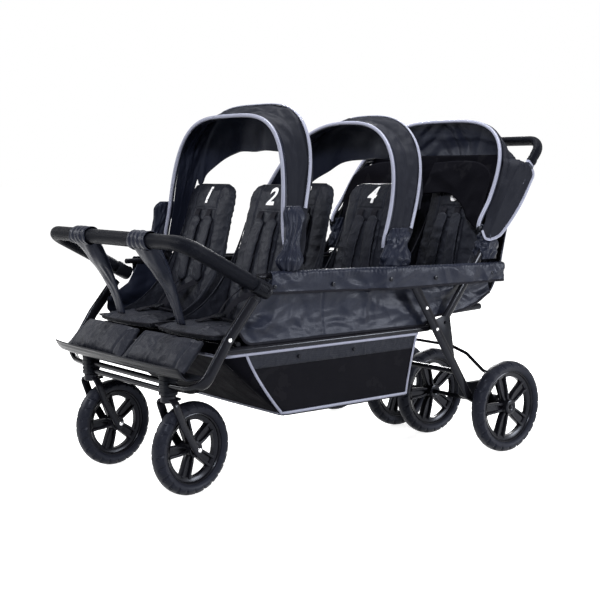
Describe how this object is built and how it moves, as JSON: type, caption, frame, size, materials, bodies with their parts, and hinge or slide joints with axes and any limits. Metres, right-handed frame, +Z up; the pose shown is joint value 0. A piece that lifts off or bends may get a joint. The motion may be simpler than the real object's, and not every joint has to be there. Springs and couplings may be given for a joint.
{
  "type": "six-seat stroller",
  "caption": "Folding stroller with three rows of paired seats, a canopy over each row, a padded bumper bar, a mesh basket, twin swivel front wheels and four rear wheels.",
  "frame": {"origin": "centre of the bounding box's base, on the floor between the wheels", "axes": "+Z up, -Y forward, the way the children face, +X to the children's left"},
  "size_m": [0.867, 1.407, 1.0687],
  "materials": {
    "black_tube": "gloss black powder coat",
    "moulded_plastic": "satin moulded nylon",
    "tyre": "matt foam rubber with fine tread",
    "grip_foam": "matt foam, ribbed",
    "seat_fabric": "woven polyester",
    "mesh_fabric": "knitted mesh"
  },
  "bodies": {
    "frame": {"front_frame": "black_tube", "lower_frame": "black_tube", "side_rail_left": "black_tube", "side_rail_right": "black_tube", "rear_frame": "black_tube", "rear_axle": "black_tube", "footrest_tray": "moulded_plastic", "basket": "mesh_fabric", "calf_pad": "seat_fabric", "side_panel_left": "seat_fabric", "side_panel_right": "seat_fabric", "side_flap_left": "seat_fabric", "side_flap_right": "seat_fabric", "rear_curtain": "seat_fabric", "bumper_clamp_left": "moulded_plastic", "bumper_clamp_right": "moulded_plastic", "seat_cushion_1": "seat_fabric", "seat_cushion_2": "seat_fabric", "seat_cushion_3": "seat_fabric", "seat_cushion_4": "seat_fabric", "seat_cushion_5": "seat_fabric", "seat_cushion_6": "seat_fabric"},
    "bumper": {"bumper_bar": "grip_foam", "crotch_band_left": "seat_fabric", "crotch_band_right": "seat_fabric"},
    "handle": {"push_handle": "black_tube", "handle_grip": "grip_foam", "canopy_3_cover": "seat_fabric"},
    "canopy_3_bow": {"canopy_3_front_bow": "black_tube"},
    "canopy_1": {"canopy_1_cover": "seat_fabric"},
    "canopy_1_bow": {"canopy_1_front_bow": "black_tube"},
    "canopy_2": {"canopy_2_cover": "seat_fabric"},
    "canopy_2_bow": {"canopy_2_front_bow": "black_tube"},
    "brake": {"brake_bar": "black_tube"},
    "back_1": {"backrest_1": "seat_fabric"},
    "back_2": {"backrest_2": "seat_fabric"},
    "back_3": {"backrest_3": "seat_fabric"},
    "back_4": {"backrest_4": "seat_fabric"},
    "back_5": {"backrest_5": "seat_fabric"},
    "back_6": {"backrest_6": "seat_fabric"},
    "button_left": {"bumper_button_left": "moulded_plastic"},
    "fold_lock_left": {"fold_lock_left": "moulded_plastic"},
    "caster_left": {"caster_fork_left": "moulded_plastic"},
    "caster_lock_left": {"caster_lock_left": "moulded_plastic"},
    "front_wheel_left": {"front_tyre_left": "tyre", "front_rim_left": "moulded_plastic"},
    "rear_wheel_left_outer": {"rear_tyre_left_outer": "tyre", "rear_rim_left_outer": "moulded_plastic"},
    "rear_wheel_left_inner": {"rear_tyre_left_inner": "tyre", "rear_rim_left_inner": "moulded_plastic"},
    "button_right": {"bumper_button_right": "moulded_plastic"},
    "fold_lock_right": {"fold_lock_right": "moulded_plastic"},
    "caster_right": {"caster_fork_right": "moulded_plastic"},
    "caster_lock_right": {"caster_lock_right": "moulded_plastic"},
    "front_wheel_right": {"front_tyre_right": "tyre", "front_rim_right": "moulded_plastic"},
    "rear_wheel_right_outer": {"rear_tyre_right_outer": "tyre", "rear_rim_right_outer": "moulded_plastic"},
    "rear_wheel_right_inner": {"rear_tyre_right_inner": "tyre", "rear_rim_right_inner": "moulded_plastic"}
  },
  "joints": [
    {"name": "handle_fold", "type": "hinge", "parent": "frame", "child": "handle", "pos_m": [0, 0.244, 0.424], "axis": [1, 0, 0], "range_deg": [0, 56], "deforming": ["side_flap_left", "side_flap_right", "rear_curtain"]},
    {"name": "canopy_1_tilt", "type": "hinge", "parent": "frame", "child": "canopy_1", "pos_m": [0, -0.292, 0.61472], "axis": [1, 0, 0], "range_deg": [0, 45]},
    {"name": "canopy_1_front_bow_turn", "type": "hinge", "parent": "canopy_1", "child": "canopy_1_bow", "pos_m": [0, -0.292, 0.61472], "axis": [1, 0, 0], "range_deg": [0, 38]},
    {"name": "canopy_2_tilt", "type": "hinge", "parent": "frame", "child": "canopy_2", "pos_m": [0, 0.057, 0.60844], "axis": [1, 0, 0], "range_deg": [0, 51]},
    {"name": "canopy_2_front_bow_turn", "type": "hinge", "parent": "canopy_2", "child": "canopy_2_bow", "pos_m": [0, 0.057, 0.60844], "axis": [1, 0, 0], "range_deg": [0, 12]},
    {"name": "canopy_3_front_bow_turn", "type": "hinge", "parent": "handle", "child": "canopy_3_bow", "pos_m": [0, 0.40964, 0.7], "axis": [1, 0, 0], "range_deg": [0, 30]},
    {"name": "recline_1", "type": "hinge", "parent": "frame", "child": "back_1", "pos_m": [-0.161, -0.335, 0.422], "axis": [1, 0, 0], "range_deg": [-25, 0]},
    {"name": "recline_2", "type": "hinge", "parent": "frame", "child": "back_2", "pos_m": [0.161, -0.335, 0.422], "axis": [1, 0, 0], "range_deg": [-25, 0]},
    {"name": "recline_3", "type": "hinge", "parent": "frame", "child": "back_3", "pos_m": [-0.161, 0.05, 0.422], "axis": [1, 0, 0], "range_deg": [-25, 0]},
    {"name": "recline_4", "type": "hinge", "parent": "frame", "child": "back_4", "pos_m": [0.161, 0.05, 0.422], "axis": [1, 0, 0], "range_deg": [-25, 0]},
    {"name": "recline_5", "type": "hinge", "parent": "frame", "child": "back_5", "pos_m": [-0.161, 0.427, 0.467], "axis": [1, 0, 0], "range_deg": [-25, 0], "deforming": ["rear_curtain"]},
    {"name": "recline_6", "type": "hinge", "parent": "frame", "child": "back_6", "pos_m": [0.161, 0.427, 0.467], "axis": [1, 0, 0], "range_deg": [-25, 0], "deforming": ["rear_curtain"]},
    {"name": "bumper_slide", "type": "slide", "parent": "frame", "child": "bumper", "axis": [0, -0.8826, 0.4701], "range_m": [0, 0.06], "deforming": ["crotch_band_left", "crotch_band_right"]},
    {"name": "bumper_button_left_press", "type": "slide", "parent": "frame", "child": "button_left", "axis": [-1, 0, 0], "range_m": [0, 0.003], "stiffness_N_per_m": 400, "springref_m": -0.001},
    {"name": "fold_lock_left_pull", "type": "slide", "parent": "handle", "child": "fold_lock_left", "axis": [-1, 0, 0], "range_m": [0, 0.008], "stiffness_N_per_m": 300, "springref_m": -0.002},
    {"name": "caster_left_swivel", "type": "hinge", "parent": "frame", "child": "caster_left", "pos_m": [0.211, -0.638, 0.27], "axis": [0, 0, 1], "continuous": true},
    {"name": "caster_lock_left_lift", "type": "slide", "parent": "caster_left", "child": "caster_lock_left", "axis": [0, 0, 1], "range_m": [0, 0.008], "stiffness_N_per_m": 200, "springref_m": -0.002},
    {"name": "front_wheel_left_spin", "type": "hinge", "parent": "caster_left", "child": "front_wheel_left", "pos_m": [0.20028, -0.56175, 0.1286], "axis": [0.9903, 0.1392, 0], "continuous": true},
    {"name": "rear_wheel_left_outer_spin", "type": "hinge", "parent": "frame", "child": "rear_wheel_left_outer", "pos_m": [0.4085, 0.48, 0.1433], "axis": [1, 0, 0], "continuous": true},
    {"name": "rear_wheel_left_inner_spin", "type": "hinge", "parent": "frame", "child": "rear_wheel_left_inner", "pos_m": [0.0786, 0.48, 0.1433], "axis": [1, 0, 0], "continuous": true},
    {"name": "bumper_button_right_press", "type": "slide", "parent": "frame", "child": "button_right", "axis": [1, 0, 0], "range_m": [0, 0.003], "stiffness_N_per_m": 400, "springref_m": -0.001},
    {"name": "fold_lock_right_pull", "type": "slide", "parent": "handle", "child": "fold_lock_right", "axis": [1, 0, 0], "range_m": [0, 0.008], "stiffness_N_per_m": 300, "springref_m": -0.002},
    {"name": "caster_right_swivel", "type": "hinge", "parent": "frame", "child": "caster_right", "pos_m": [-0.211, -0.638, 0.27], "axis": [0, 0, 1], "continuous": true},
    {"name": "caster_lock_right_lift", "type": "slide", "parent": "caster_right", "child": "caster_lock_right", "axis": [0, 0, 1], "range_m": [0, 0.008], "stiffness_N_per_m": 200, "springref_m": -0.002},
    {"name": "front_wheel_right_spin", "type": "hinge", "parent": "caster_right", "child": "front_wheel_right", "pos_m": [-0.22172, -0.56175, 0.1286], "axis": [0.9903, 0.1392, 0], "continuous": true},
    {"name": "rear_wheel_right_outer_spin", "type": "hinge", "parent": "frame", "child": "rear_wheel_right_outer", "pos_m": [-0.4085, 0.48, 0.1433], "axis": [1, 0, 0], "continuous": true},
    {"name": "rear_wheel_right_inner_spin", "type": "hinge", "parent": "frame", "child": "rear_wheel_right_inner", "pos_m": [-0.0786, 0.48, 0.1433], "axis": [1, 0, 0], "continuous": true},
    {"name": "brake_press", "type": "hinge", "parent": "frame", "child": "brake", "pos_m": [0, 0.43, 0.215], "axis": [1, 0, 0], "range_deg": [-8, 0]}
  ],
  "couplings": [
    {"joint": "canopy_1_tilt", "follows": "handle_fold", "ratio": 0.8},
    {"joint": "canopy_2_tilt", "follows": "handle_fold", "ratio": 0.9}
  ]
}
